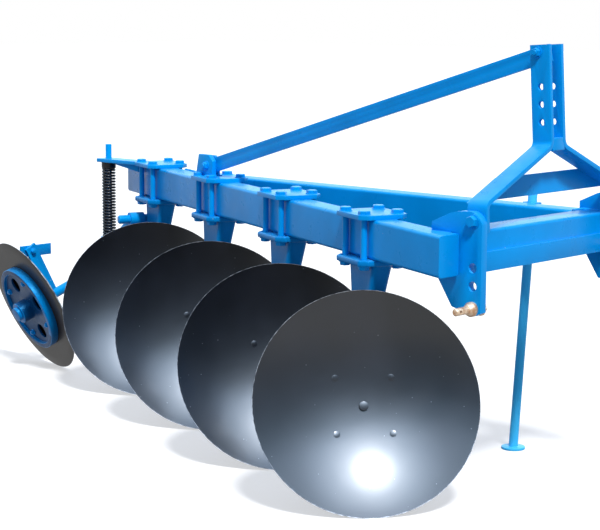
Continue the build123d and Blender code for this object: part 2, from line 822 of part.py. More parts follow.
# Axle, with its collar and the upright arm of the scraper
lean_up = Vector(sin(radians(scraper_lean)), 0, cos(radians(scraper_lean)))
scraper_root = wheel_centre - wheel_axis * scraper_setback
scraper_plane = Plane(origin=scraper_root, x_dir=lean_up, z_dir=(0, -1, 0))
with BuildPart() as wheel_axle:
    with BuildSketch(wheel_face.offset(axle_front)):
        Circle(axle_radius)
    extrude(amount=-axle_front - axle_length)
    with BuildSketch(wheel_face.offset(axle_collar_front)):
        Circle(axle_collar_radius)
    extrude(amount=-axle_collar_length)
    with BuildSketch(scraper_plane):
        Rectangle(scraper_length, scraper_width, align=(Align.MIN, Align.CENTER))
        with Locations((scraper_length - scraper_bolt_drop, 0)):
            Circle(scraper_bolt_radius, mode=Mode.SUBTRACT)
    extrude(amount=scraper_thickness / 2, both=True)
write(wheel_axle, "wheel_axle")

# Scraper blade, bolted behind the arm and running out over the disc's rear face
blade_bolt = scraper_root + lean_up * (scraper_length - scraper_bolt_drop)
blade_plane = Plane(
    origin=blade_bolt + Vector(0, -scraper_thickness / 2, 0),
    x_dir=(1, 0, 0),
    z_dir=(0, -1, 0),
)
with BuildPart() as scraper_blade:
    with BuildSketch(blade_plane):
        with Locations(((blade_right - blade_left) / 2, 0)):
            Rectangle(blade_right + blade_left, blade_height)
        Circle(scraper_bolt_radius, mode=Mode.SUBTRACT)
    extrude(amount=blade_thickness)
write(scraper_blade, "scraper_blade")

# Pivot bar across the back of the last standard
pivot_end = clamp_place(last, -pivot_setback, -pivot_left_end, pivot_z)
with BuildPart() as pivot_bar:
    with BuildSketch(Plane(origin=pivot_end, x_dir=up, z_dir=across)):
        Circle(pivot_radius)
    extrude(amount=pivot_left_end + pivot_right_end)
    chamfer(pivot_bar.edges().filter_by(GeomType.CIRCLE), pivot_radius / 4)
write(pivot_bar, "pivot_bar")

# Arm from the pivot bar down to the axle, with the spring's seat on its back
arm_foot = wheel_centre - wheel_axis * arm_setback
arm_head = clamp_place(last, -pivot_setback, pivot_eye_right, pivot_z)
arm_run = arm_head - arm_foot
arm_plan_run = Vector(arm_run.X, arm_run.Y, 0).length
arm_right = Vector(arm_run.X, arm_run.Y, 0).normalized().cross(up)
with BuildPart() as wheel_arm:
    with BuildSketch(Plane(origin=arm_foot, x_dir=arm_run, z_dir=arm_right)):
        with Locations((arm_run.length / 2, 0)):
            Rectangle(arm_run.length, arm_height)
    extrude(amount=arm_width / 2, both=True)
    for middle, direction, radius, length in (
        (arm_foot, wheel_axis, arm_eye_radius, arm_eye_length),
        (arm_head, across, pivot_eye_radius, pivot_eye_length),
    ):
        with BuildSketch(Plane(origin=middle, z_dir=direction)):
            Circle(radius)
        extrude(amount=length / 2, both=True)
    seat_plane = Plane(origin=spring_place + up * seat_z, z_dir=up)
    with BuildSketch(seat_plane):
        Circle(seat_radius)
    extrude(amount=-seat_thickness)
    post_drop = seat_z - arm_foot.Z - (arm_foot - spring_place - up * arm_foot.Z).length * arm_run.Z / arm_plan_run
    with BuildSketch(seat_plane):
        Circle(seat_post_radius)
    extrude(amount=-post_drop)
    for middle, direction, radius in (
        (arm_foot, wheel_axis, axle_radius + fit_gap),
        (arm_head, across, pivot_radius + fit_gap),
    ):
        with BuildSketch(Plane(origin=middle, z_dir=direction)):
            Circle(radius)
        extrude(amount=arm_eye_length, both=True, mode=Mode.SUBTRACT)
write(wheel_arm, "wheel_arm")

# Spring round its rod, between the seat on the arm and the last clamp plate
spring_base = Plane(origin=spring_place + up * seat_z, z_dir=up)
with BuildPart() as spring:
    with BuildSketch(spring_base):
        Circle(spring_radius + spring_wire / 2)
        Circle(spring_radius - spring_wire / 2, mode=Mode.SUBTRACT)
    extrude(amount=beam_top_z - seat_z)
write(spring, "spring")

with BuildPart() as spring_rod:
    with BuildSketch(spring_base):
        Circle(rod_radius)
    extrude(amount=beam_top_z + clamp_thickness + rod_proud - seat_z)
write(spring_rod, "spring_rod")

# Parking stand: a round leg that slides in a square sleeve on the side beam, its foot level
stand_up = Vector(0, sin(radians(stand_lean)), cos(radians(stand_lean)))
stand_foot = Vector(side_left_x - sleeve_width / 2, disc_1_y + stand_ahead, stand_foot_thickness / 2)
stand_plane = Plane(origin=stand_foot, x_dir=(1, 0, 0), z_dir=stand_up)
sleeve_start = (beam_bottom_z + (beam_height - sleeve_height) / 2) / stand_up.Z
with BuildPart() as stand_sleeve:
    with BuildSketch(stand_plane.offset(sleeve_start)):
        Rectangle(sleeve_width, sleeve_width)
        Circle(stand_radius + sleeve_gap, mode=Mode.SUBTRACT)
    extrude(amount=sleeve_height)
write(stand_sleeve, "stand_sleeve")

with BuildPart() as stand_leg:
    with BuildSketch(Plane(origin=(stand_foot.X, stand_foot.Y, 0))):
        Circle(stand_foot_radius)
    extrude(amount=stand_foot_thickness)
    with BuildSketch(stand_plane):
        Circle(stand_radius)
    extrude(amount=(beam_top_z + stand_proud) / stand_up.Z)
write(stand_leg, "stand_leg")
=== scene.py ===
import json
import math
import bmesh
import bpy
from mathutils import Matrix, Vector


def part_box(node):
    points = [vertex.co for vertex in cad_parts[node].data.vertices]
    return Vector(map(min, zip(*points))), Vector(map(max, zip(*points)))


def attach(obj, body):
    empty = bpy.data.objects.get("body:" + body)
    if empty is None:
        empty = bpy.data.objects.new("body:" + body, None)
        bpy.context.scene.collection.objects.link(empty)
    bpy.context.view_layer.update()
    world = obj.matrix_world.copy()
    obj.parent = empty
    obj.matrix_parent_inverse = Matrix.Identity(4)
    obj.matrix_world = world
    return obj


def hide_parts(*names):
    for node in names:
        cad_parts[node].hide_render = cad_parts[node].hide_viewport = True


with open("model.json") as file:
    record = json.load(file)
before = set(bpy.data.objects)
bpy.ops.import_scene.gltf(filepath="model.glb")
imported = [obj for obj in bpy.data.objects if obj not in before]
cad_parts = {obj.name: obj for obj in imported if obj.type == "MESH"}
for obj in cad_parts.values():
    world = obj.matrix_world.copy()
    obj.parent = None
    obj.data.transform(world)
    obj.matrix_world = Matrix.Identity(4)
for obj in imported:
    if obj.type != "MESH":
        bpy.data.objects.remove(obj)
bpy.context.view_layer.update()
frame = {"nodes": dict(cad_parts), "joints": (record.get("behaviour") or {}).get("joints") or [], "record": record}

# Beams: the skew main beam, the side beam and the cross beam are box sections, welded into a
# triangle and sprayed with a thick gloss enamel that pools a little and lies unevenly. Arc welds
# run along the joints and are painted over.


def fed(tree, node, inputs):
    """Gives each named input of a node its value, or the socket that feeds it."""
    for label, value in inputs.items():
        if isinstance(value, bpy.types.NodeSocket):
            tree.links.new(value, node.inputs[label])
        else:
            node.inputs[label].default_value = value
    return node


def added(tree, kind, inputs=None, **settings):
    """A new node of a tree, with its settings and its inputs."""
    node = tree.nodes.new(kind)
    for setting, value in settings.items():
        setattr(node, setting, value)
    return fed(tree, node, inputs or {})


def maths(tree, operation, first, second=0.0):
    """One Math node, between a socket and another socket or a number."""
    return added(tree, "ShaderNodeMath", {0: first, 1: second}, operation=operation).outputs[0]


def noise(tree, place, scale, detail=2.0, roughness=0.5):
    """A soft random pattern over a place."""
    inputs = {"Vector": place, "Scale": scale, "Detail": detail, "Roughness": roughness}
    return added(tree, "ShaderNodeTexNoise", inputs).outputs["Fac"]


def ranged(tree, value, low, high, start=0.0, end=1.0):
    """A value's stretch from start to end, spread from low to high and held there."""
    inputs = {"Value": value, "From Min": start, "From Max": end, "To Min": low, "To Max": high}
    return added(tree, "ShaderNodeMapRange", inputs).outputs[0]


def ramped(tree, value, stops):
    """The colour that a value picks between stops, each a position and a colour."""
    ramp = added(tree, "ShaderNodeValToRGB", {"Fac": value})
    elements = ramp.color_ramp.elements
    for element, (position, colour) in zip(elements, (stops[0], stops[-1])):
        element.position = position
        element.color = (*colour, 1)
    for position, colour in stops[1:-1]:
        elements.new(position).color = (*colour, 1)
    return ramp.outputs["Color"]


def mixed(tree, share, colour, other):
    """A colour that gives way to another by a share."""
    inputs = {0: share, 6: colour, 7: (*other, 1)}
    return added(tree, "ShaderNodeMix", inputs, data_type="RGBA").outputs[2]


def bumped(tree, height, strength, distance):
    """A surface that a height pattern roughens."""
    inputs = {"Height": height, "Strength": strength, "Distance": distance}
    return added(tree, "ShaderNodeBump", inputs).outputs["Normal"]


def blank_finish(name):
    """A new material, with its node tree, its shader and the place on the piece."""
    material = bpy.data.materials.new(name)
    material.use_nodes = True
    tree = material.node_tree
    place = added(tree, "ShaderNodeTexCoord").outputs["Object"]
    return material, tree, tree.nodes["Principled BSDF"], place


def enamel(name, colour, grain=0.0004, roughness=0.2, dust=0.3):
    """A sprayed gloss enamel: slow colour drift, orange peel, pale dust on top and a few chips."""
    material, tree, shader, place = blank_finish(name)
    shade = [part * 0.84 for part in colour]
    drift = ramped(tree, noise(tree, place, 5.0, 5.0), [(0.35, shade), (0.68, colour)])

    # Dust settles on what faces up and in patches
    normal = added(tree, "ShaderNodeNewGeometry").outputs["Normal"]
    upward = added(tree, "ShaderNodeSeparateXYZ", {"Vector": normal}).outputs["Z"]
    patches = noise(tree, place, 22.0, 8.0)
    dusted = ranged(tree, maths(tree, "MULTIPLY", upward, patches), 0.0, dust, 0.25, 0.75)
    film = mixed(tree, dusted, drift, (0.12, 0.52, 0.80))

    # Small chips, down to the pale primer
    specks = added(tree, "ShaderNodeTexVoronoi", {"Vector": place, "Scale": 34.0})
    near = ranged(tree, specks.outputs["Distance"], 0.0, 1.0, 0.055, 0.035)
    cell = added(tree, "ShaderNodeSeparateColor", {"Color": specks.outputs["Color"]})
    rare = maths(tree, "GREATER_THAN", cell.outputs["Red"], 0.86)
    chips = maths(tree, "MULTIPLY", near, rare)

    fed(
        tree,
        shader,
        {
            "Base Color": mixed(tree, chips, film, (0.4, 0.55, 0.68)),
            "Roughness": ranged(tree, patches, roughness, roughness + 0.2),
            "Specular IOR Level": 0.3,
            "Specular Tint": (0.12, 0.6, 1.0, 1),
            "Normal": bumped(tree, noise(tree, place, 170.0, 3.0), 0.35, grain),
        },
    )
    return material


body_of = {
    node: body
    for body, nodes in frame["record"]["behaviour"]["bodies"].items()
    for node in nodes
}


def shown(name, data):
    """A new object of the scene, made of a mesh, a light or a camera."""
    piece = bpy.data.objects.new(name, data)
    bpy.context.scene.collection.objects.link(piece)
    return piece


def settled(piece, sharp=40):
    """Applies a piece's modifiers and keeps the plain, smooth-shaded mesh that they give."""
    graph = bpy.context.evaluated_depsgraph_get()
    mesh = bpy.data.meshes.new_from_object(piece.evaluated_get(graph))
    piece.modifiers.clear()
    piece.data = mesh
    mesh.polygons.foreach_set("use_smooth", [True] * len(mesh.polygons))
    mesh.set_sharp_from_angle(angle=math.radians(sharp))
    return piece


def merged(node, name, material):
    """A copy of a CAD piece with its loose triangles joined into flat faces."""
    mesh = frame["nodes"][node].data.copy()
    shell = bmesh.new()
    shell.from_mesh(mesh)
    bmesh.ops.remove_doubles(shell, verts=shell.verts, dist=0.00002)
    bmesh.ops.dissolve_limit(
        shell, angle_limit=math.radians(0.6), verts=shell.verts, edges=shell.edges
    )
    shell.to_mesh(mesh)
    shell.free()
    mesh.materials.clear()
    mesh.materials.append(material)
    return shown(name, mesh)


def eased(node, material, width=0.0022):
    """A CAD piece with its sawn edges eased, as a grinder and thick paint leave them."""
    piece = merged(node, node + "_eased", material)
    bevel = piece.modifiers.new("bevel", "BEVEL")
    bevel.width = width
    bevel.segments = 3
    bevel.limit_method = "ANGLE"
    bevel.angle_limit = math.radians(38)
    settled(piece)
    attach(piece, body_of[node])
    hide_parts(node)
    return piece


def node_tree(name, sizes):
    """A node tree whose named inputs hold the sizes; it ends by realizing and painting."""
    tree = bpy.data.node_groups.new(name, "GeometryNodeTree")
    tree.interface.new_socket("Geometry", in_out="INPUT", socket_type="NodeSocketGeometry")
    for label, value in sizes.items():
        kind = "NodeSocketInt" if isinstance(value, int) else "NodeSocketFloat"
        tree.interface.new_socket(label, in_out="INPUT", socket_type=kind).default_value = value
    tree.interface.new_socket("Finish", in_out="INPUT", socket_type="NodeSocketMaterial")
    tree.interface.new_socket("Geometry", in_out="OUTPUT", socket_type="NodeSocketGeometry")
    given = added(tree, "NodeGroupInput").outputs
    realize = added(tree, "GeometryNodeRealizeInstances")
    paint = {"Geometry": realize.outputs[0], "Material": given["Finish"]}
    added(tree, "NodeGroupOutput", {0: added(tree, "GeometryNodeSetMaterial", paint).outputs[0]})
    return tree, given, realize


def grown(name, tree, start, sizes, material, body):
    """Runs a node tree on a start mesh and keeps the plain mesh, riding on a body."""
    piece = shown(name, start)
    modifier = piece.modifiers.new("grow", "NODES")
    modifier.node_group = tree
    for socket in tree.interface.items_tree:
        if socket.in_out == "INPUT" and socket.name in sizes:
            modifier[socket.identifier] = sizes[socket.name]
        if socket.name == "Finish":
            modifier[socket.identifier] = material
    settled(piece)
    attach(piece, body)
    return piece


def lifted(tree, geometry, height):
    """Geometry of a node tree moved up its own axis."""
    offset = added(tree, "ShaderNodeCombineXYZ", {"Z": height}).outputs[0]
    move = {"Geometry": geometry, "Translation": offset}
    return added(tree, "GeometryNodeTransform", move).outputs[0]


# The weld's ripples come from a wave along the run, its uneven width from noise
weld_tree, given, realize = node_tree("weld", {"Width": 0.004, "Ripple": 0.0035})
seam = added(weld_tree, "GeometryNodeMeshToCurve", {"Mesh": given["Geometry"]}).outputs[0]
step = maths(weld_tree, "MULTIPLY", given["Ripple"], 0.34)
steps = added(
    weld_tree, "GeometryNodeResampleCurve", {"Curve": seam, "Length": step}, mode="LENGTH"
)
run = added(weld_tree, "GeometryNodeSplineParameter").outputs["Length"]
waves = maths(weld_tree, "MULTIPLY", maths(weld_tree, "DIVIDE", run, given["Ripple"]), math.tau)
ripples = maths(weld_tree, "MULTIPLY", maths(weld_tree, "SINE", waves), 0.13)
patchy = added(weld_tree, "ShaderNodeTexNoise", {"Scale": 60.0}).outputs["Fac"]
swell = maths(weld_tree, "ADD", maths(weld_tree, "ADD", ripples, patchy), 0.5)
section = added(weld_tree, "GeometryNodeCurvePrimitiveCircle", {"Resolution": 8, "Radius": 1.0})
bead = added(
    weld_tree,
    "GeometryNodeCurveToMesh",
    {
        "Curve": steps.outputs[0],
        "Profile Curve": section.outputs[0],
        "Scale": maths(weld_tree, "MULTIPLY", swell, given["Width"]),
        "Fill Caps": True,
    },
)
fed(weld_tree, realize, {0: bead.outputs[0]})


def welds(name, seams, material, body="frame", width=0.004):
    """Rippled weld beads along seams, each a list of points."""
    points, edges = [], []
    for seam_points in seams:
        first = len(points)
        points += [tuple(point) for point in seam_points]
        edges += [(first + i, first + i + 1) for i in range(len(seam_points) - 1)]
    start = bpy.data.meshes.new(name)
    start.from_pydata(points, edges, [])
    return grown(name, weld_tree, start, {"Width": width}, material, body)


def corners(node):
    """The lowest and the highest corner of a CAD piece."""
    low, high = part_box(node)
    return Vector(low), Vector(high)


# Places on the plough, from the first disc's joint: ahead along the beam, right across it
beam_angle = math.radians(22.2)
beam_middle, beam_width = -0.124, 0.082
beam_low, beam_high = 0.698, 0.816
plate_high = beam_high + 0.014
first_clamp, disc_pitch = -0.222, 0.581
first_disc = Vector(frame["joints"][0]["pos_m"])
along = Vector((math.sin(beam_angle), math.cos(beam_angle), 0))
across = Vector((along.y, -along.x, 0))
up = Vector((0, 0, 1))


def plan(ahead, right, z):
    """A point that far ahead of the first disc along the beam and right of the discs' line."""
    return Vector((first_disc.x, first_disc.y, 0)) + along * ahead + across * right + up * z


azure = enamel("azure_enamel", (0.0006, 0.31, 0.80))
for node in ("main_beam", "side_beam", "cross_beam"):
    eased(node, azure, 0.0028)

beam_left = beam_middle - beam_width / 2
side_low, side_high = corners("side_beam")
cross_low, cross_high = corners("cross_beam")
weld_start = side_low.x + 0.03


def on_left_face(x, z):
    """The point of the main beam's left face that lies at an x."""
    return plan((x - plan(0, beam_left, 0).x) / along.x, beam_left, z)


welds(
    "beam_welds",
    [
        [on_left_face(side_high.x, beam_low), on_left_face(side_high.x, beam_high)],
        [on_left_face(side_high.x, beam_high), on_left_face(side_low.x, beam_high)],
        [on_left_face(side_high.x, beam_low), on_left_face(side_low.x, beam_low)],
        [on_left_face(side_low.x, beam_low), on_left_face(side_low.x, beam_high)],
        [(side_high.x, cross_low.y, beam_low), (side_high.x, cross_low.y, beam_high)],
        [(side_high.x, cross_low.y, beam_high), (weld_start, cross_low.y, beam_high)],
    ],
    azure,
)

# Hitch: two thick cut plates, each with a turned steel pin that is left bare so that the
# tractor's lower links run on it. The steel has a thin straw-coloured film of old oil.
for node in ("hitch_plate_right", "hitch_plate_left"):
    eased(node, azure, 0.002)


def oiled_steel():
    """Turned steel with fine rings round the pin, browned by old oil."""
    material, tree, shader, place = blank_finish("oiled_steel")
    stretch = {"Vector": place, "Scale": (900, 12, 12)}
    rings = noise(tree, added(tree, "ShaderNodeMapping", stretch).outputs[0], 1.0)
    stain = noise(tree, place, 45.0, 6.0)
    tints = [(0.38, (0.50, 0.27, 0.14)), (0.62, (0.86, 0.66, 0.46))]
    fed(
        tree,
        shader,
        {
            "Base Color": ramped(tree, stain, tints),
            "Metallic": 0.45,
            "Roughness": ranged(tree, stain, 0.28, 0.5),
            "Normal": bumped(tree, rings, 0.25, 0.0002),
        },
    )
    return material


straw_steel = oiled_steel()
for node in ("hitch_pin_right", "hitch_pin_left"):
    eased(node, straw_steel, 0.0008)

right_low, right_high = corners("hitch_plate_right")
left_low, left_high = corners("hitch_plate_left")
welds(
    "hitch_welds",
    [
        [(right_low.x, cross_high.y, beam_low), (right_low.x, cross_high.y, beam_high)],
        [(right_low.x, cross_high.y, beam_high), (right_low.x, cross_low.y, beam_high)],
        [(left_high.x, cross_high.y, beam_low), (left_high.x, cross_high.y, beam_high)],
        [(left_high.x, cross_high.y, beam_high), (left_high.x, cross_low.y, beam_high)],
    ],
    azure,
)

# Mast: two flat bars bent hot, bolted to the hitch plates and braced across their backs, with
# a flat stay that runs back from the top to a lug on the third clamp. Hexagon bolts with
# washers hold it, painted over with the rest.
for node in ("mast_leg_right", "mast_leg_left", "mast_brace", "fork_web"):
    eased(node, azure, 0.0018)

bolt_tree, given, realize = node_tree(
    "fasteners",
    {
        "Sides": 6,
        "Corner radius": 0.0173,
        "Head height": 0.014,
        "Washer radius": 0.0205,
        "Washer thickness": 0.003,
        "Thread radius": 0.01,
        "Thread proud": 0.0,
        "Shank length": 0.0,
        "Turn seed": 3,
    },
)


def turned_part(sides, low_radius, top_radius, depth, base):
    """A straight or tapering part of the fastener from a base up its axis; none if depth is 0."""
    cone = added(
        bolt_tree,
        "GeometryNodeMeshCone",
        {"Vertices": sides, "Radius Bottom": low_radius, "Radius Top": top_radius, "Depth": depth},
    )
    part = lifted(bolt_tree, cone.outputs["Mesh"], base)
    choice = {"Switch": maths(bolt_tree, "GREATER_THAN", depth), "True": part}
    return added(bolt_tree, "GeometryNodeSwitch", choice, input_type="GEOMETRY").outputs[0]


def part_of(size, share):
    """A share of one of the fastener's sizes."""
    return maths(bolt_tree, "MULTIPLY", size, share)


sides, corner, thread = given["Sides"], given["Corner radius"], given["Thread radius"]
washer, washer_radius = given["Washer thickness"], given["Washer radius"]
head, shank = given["Head height"], given["Shank length"]
head_straight, head_chamfer = part_of(head, 0.78), part_of(head, 0.22)
chamfer_base = maths(bolt_tree, "ADD", washer, head_straight)
head_top = maths(bolt_tree, "ADD", washer, head)
# A joining node takes all its parts on one input
whole = added(bolt_tree, "GeometryNodeJoinGeometry")
for part in (
    turned_part(28, washer_radius, part_of(washer_radius, 0.97), washer, 0.0),
    turned_part(sides, corner, corner, head_straight, washer),
    turned_part(sides, corner, part_of(corner, 0.86), head_chamfer, chamfer_base),
    turned_part(16, thread, part_of(thread, 0.85), given["Thread proud"], head_top),
    turned_part(24, thread, thread, shank, part_of(shank, -1.0)),
):
    fed(bolt_tree, whole, {0: part})

# Each fastener faces its own way and is turned at random, as a wrench leaves it
facing = added(
    bolt_tree, "GeometryNodeInputNamedAttribute", {"Name": "facing"}, data_type="FLOAT_VECTOR"
)
aimed = added(
    bolt_tree, "FunctionNodeAlignRotationToVector", {"Vector": facing.outputs[0]}, axis="Z"
)
wrench_turn = added(
    bolt_tree,
    "FunctionNodeRandomValue",
    {3: math.pi / 3, "Seed": given["Turn seed"]},
    data_type="FLOAT",
)
turn = added(bolt_tree, "ShaderNodeCombineXYZ", {"Z": wrench_turn.outputs[1]})
turn_rotation = added(bolt_tree, "FunctionNodeEulerToRotation", {0: turn.outputs[0]})
turned = added(
    bolt_tree,
    "FunctionNodeRotateRotation",
    {0: aimed.outputs[0], 1: turn_rotation.outputs[0]},
    rotation_space="LOCAL",
)
bolt_points = added(bolt_tree, "GeometryNodeMeshToPoints", {"Mesh": given["Geometry"]})
spread = added(
    bolt_tree,
    "GeometryNodeInstanceOnPoints",
    {
        "Points": bolt_points.outputs[0],
        "Instance": whole.outputs[0],
        "Rotation": turned.outputs[0],
    },
)
fed(bolt_tree, realize, {0: spread.outputs[0]})


def fastened(name, spots, material, body="frame", **sizes):
    """Heads or nuts, each standing on a spot and facing a way; spots are (place, facing)."""
    start = bpy.data.meshes.new(name)
    start.from_pydata([tuple(place) for place, _ in spots], [], [])
    ways = start.attributes.new("facing", "FLOAT_VECTOR", "POINT")
    for index, (_, way) in enumerate(spots):
        ways.data[index].vector = way
    named = {label.replace("_", " ").capitalize(): value for label, value in sizes.items()}
    return grown(name, bolt_tree, start, named, material, body)


# The photo shows the stay's foot and its lug this far right of where the frame has them
stay_shift = 0.016
leg_thickness, mast_half_width = 0.013, 0.036
mast_lean = math.radians(-3.6)
mast_up = Vector((0, math.sin(mast_lean), math.cos(mast_lean)))
mast_ahead = Vector((0, math.cos(mast_lean), -math.sin(mast_lean)))
mast_foot = Vector(((right_high.x + left_low.x) / 2, right_high.y - 0.033, beam_high))
stay_high = mast_foot + mast_up * 0.490 - mast_ahead * 0.008
stay_low = plan(first_clamp - 2 * disc_pitch - 0.039, beam_middle, 0.870)
stay_run = stay_high - stay_low
stay_ahead = Vector((stay_run.x, stay_run.y, 0)).normalized()
stay_right = stay_ahead.cross(up)
cheek_bolt = stay_low + stay_right * stay_shift - up * 0.003
leg_bolt = Vector((0, right_high.y - 0.029, beam_high + 0.036))
right_way, left_way = Vector((1, 0, 0)), Vector((-1, 0, 0))
leg_bolts = fastened(
    "mast_leg_bolts",
    [
        (leg_bolt + right_way * right_high.x, right_way),
        (leg_bolt + right_way * left_low.x, left_way),
    ],
    azure,
    shank_length=0.038,
)
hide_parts("mast_bolts")
fastened(
    "mast_leg_nuts",
    [
        (leg_bolt + right_way * (right_low.x - leg_thickness), left_way),
        (leg_bolt + right_way * (left_high.x + leg_thickness), right_way),
    ],
    azure,
    thread_proud=0.006,
)
near_cheek, far_cheek = 0.024, -0.018
fastened(
    "stay_bolts",
    [
        (stay_high + right_way * mast_half_width, right_way),
        (stay_high - right_way * mast_half_width, left_way),
        (cheek_bolt + stay_right * near_cheek, stay_right),
        (cheek_bolt + stay_right * far_cheek, -stay_right),
    ],
    azure,
    corner_radius=0.0138,
    head_height=0.011,
    washer_radius=0.0165,
    washer_thickness=0.0025,
    thread_radius=0.008,
    thread_proud=0.004,
    shank_length=0.02,
)

stay = eased("back_stay", azure, 0.0018)
for vertex in stay.data.vertices:
    share = (vertex.co - stay_low).dot(stay_run) / stay_run.length_squared
    vertex.co += stay_right * stay_shift * (1 - share)
lug = eased("stay_lug", azure, 0.0018)
lug.data.transform(Matrix.Translation(stay_right * stay_shift))


def cut_plate(name, outline, root, ahead, side, faces_at, easing, segments):
    """A plate cut to an outline of (ahead, up) from a root, between two planes beside it."""
    count = len(outline)
    mesh = bpy.data.meshes.new(name)
    mesh.from_pydata(
        [
            tuple(root + ahead * reach + up * height + side * out)
            for out in faces_at
            for reach, height in outline
        ],
        [],
        [tuple(range(count)), tuple(reversed(range(count, 2 * count)))]
        + [(i + count, (i + 1) % count + count, (i + 1) % count, i) for i in range(count)],
    )
    mesh.materials.append(azure)
    plate = shown(name, mesh)
    edges = plate.modifiers.new("edges", "BEVEL")
    edges.width = easing
    edges.segments = segments
    return settled(plate)


lug_foot = Vector((stay_low.x, stay_low.y, plate_high)) + stay_right * stay_shift
cheek_outline = [(-0.062, 0.0), (-0.045, 0.076), (0.014, 0.076), (0.036, 0.054), (0.036, 0.0)]
cheek = cut_plate(
    "stay_cheek", cheek_outline, lug_foot, stay_ahead, stay_right, (0.006, near_cheek), 0.0022, 3
)
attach(cheek, "frame")
welds(
    "lug_welds",
    [
        [
            lug_foot + stay_right * out - stay_ahead * 0.058,
            lug_foot + stay_right * out + stay_ahead * 0.034,
        ]
        for out in (near_cheek, far_cheek)
    ],
    azure,
)

# Clamps and standards: steel plates over the beam, bolted down to cast standards below it.
# The castings keep the soft corners and the grain of their sand moulds under the paint, and
# four long bolts a clamp run past the beam's sides, with a head above and a nut below.
flange_low = beam_low - 0.018
bolt_ahead, bolt_aside = 0.060, 0.055
cast_azure = enamel("cast_enamel", (0.0005, 0.20, 0.55), grain=0.0016, roughness=0.24, dust=0.2)
for number in range(4):
    eased(f"clamp_plate_{number + 1}", azure, 0.0025)
    clamp = first_clamp - disc_pitch * number
    bolt_plan = [
        plan(clamp + bolt_ahead * i, beam_middle + bolt_aside * j, 0)
        for i in (-1, 1)
        for j in (-1, 1)
    ]
    heads = fastened(
        f"clamp_heads_{number + 1}",
        [(place + up * plate_high, up) for place in bolt_plan],
        azure,
        corner_radius=0.0185,
        head_height=0.010,
        washer_thickness=0.002,
        shank_length=0.150,
        turn_seed=number,
    )
    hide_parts(f"clamp_bolts_{number + 1}")
    fastened(
        f"clamp_nuts_{number + 1}",
        [(place + up * flange_low, -up) for place in bolt_plan],
        azure,
        head_height=0.011,
        turn_seed=number + 7,
    )

    standard = merged(f"standard_{number + 1}", f"standard_cast_{number + 1}", cast_azure)
    skin = standard.modifiers.new("skin", "REMESH")
    skin.mode = "VOXEL"
    skin.voxel_size = 0.0036
    soften = standard.modifiers.new("soften", "SMOOTH")
    soften.factor = 0.5
    soften.iterations = 4
    settled(standard)
    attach(standard, "frame")
    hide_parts(f"standard_{number + 1}")

# A rib under the last clamp's plate, where it runs back to the spring
spring_low, spring_high = corners("spring")
spring_middle = (spring_low + spring_high) / 2
rib_end = Vector((spring_middle.x, spring_middle.y, beam_high))
rib_run = (plan(first_clamp - 3 * disc_pitch, beam_middle, beam_high) - rib_end).normalized()
rib_outline = [(0.045, 0.0), (0.170, 0.0), (0.170, -0.030), (0.045, -0.008)]
rib = cut_plate(
    "strut_rib", rib_outline, rib_end, rib_run, rib_run.cross(up), (-0.006, 0.006), 0.0015, 2
)
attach(rib, "frame")

# Hubs and discs: cast cones turn on the standards' spindles and carry discs pressed from boron
# steel sheet, dipped in black lacquer and ground to an edge from behind. Flat round bolt heads
# sit in the dish, round the hub's lacquered nose.
sphere, dish, wall = 0.7635, 0.075, 0.006
eye, bevel_start, face_end, rim = 0.014, 0.318, 0.3285, 0.33
disc_bolt_circle = 0.116


def black_lacquer(name, colour, roughness, coat=0.7):
    """Dipped lacquer over pressed steel: slow waves, pinpricks of dust and hazy patches."""
    material, tree, shader, place = blank_finish(name)
    haze = noise(tree, place, 4.5, 7.0, 0.62)
    tints = ramped(tree, haze, [(0.4, colour), (0.75, [part * 2.2 for part in colour])])
    specks = added(tree, "ShaderNodeTexVoronoi", {"Vector": place, "Scale": 26.0})
    near = ranged(tree, specks.outputs["Distance"], 0.0, 0.7, 0.05, 0.028)
    fed(
        tree,
        shader,
        {
            "Base Color": mixed(tree, near, tints, (0.20, 0.21, 0.23)),
            "Roughness": ranged(tree, haze, roughness - 0.06, roughness + 0.12),
            "Specular IOR Level": 0.15 + coat / 2,
            "Coat Weight": coat,
            "Coat Roughness": 0.13,
            "Normal": bumped(tree, noise(tree, place, 7.0), 0.2, 0.004),
        },
    )
    return material


def ground_steel():
    """Steel bared by grinding, with dull and bright patches."""
    material, tree, shader, place = blank_finish("ground_steel")
    tints = [(0.35, (0.07, 0.07, 0.075)), (0.7, (0.42, 0.42, 0.43))]
    colour = ramped(tree, noise(tree, place, 60.0), tints)
    fed(tree, shader, {"Base Color": colour, "Metallic": 0.8, "Roughness": 0.4})
    return material


def dish_height(radius, below=0.0):
    """How far the dish, or a surface parallel to it, lies from the rim's plane."""
    return sphere - dish - math.sqrt((sphere + below) ** 2 - radius**2)


def stepped(start, end, count):
    """Numbers from a start to an end in equal steps."""
    return [start + (end - start) * i / count for i in range(count + 1)]


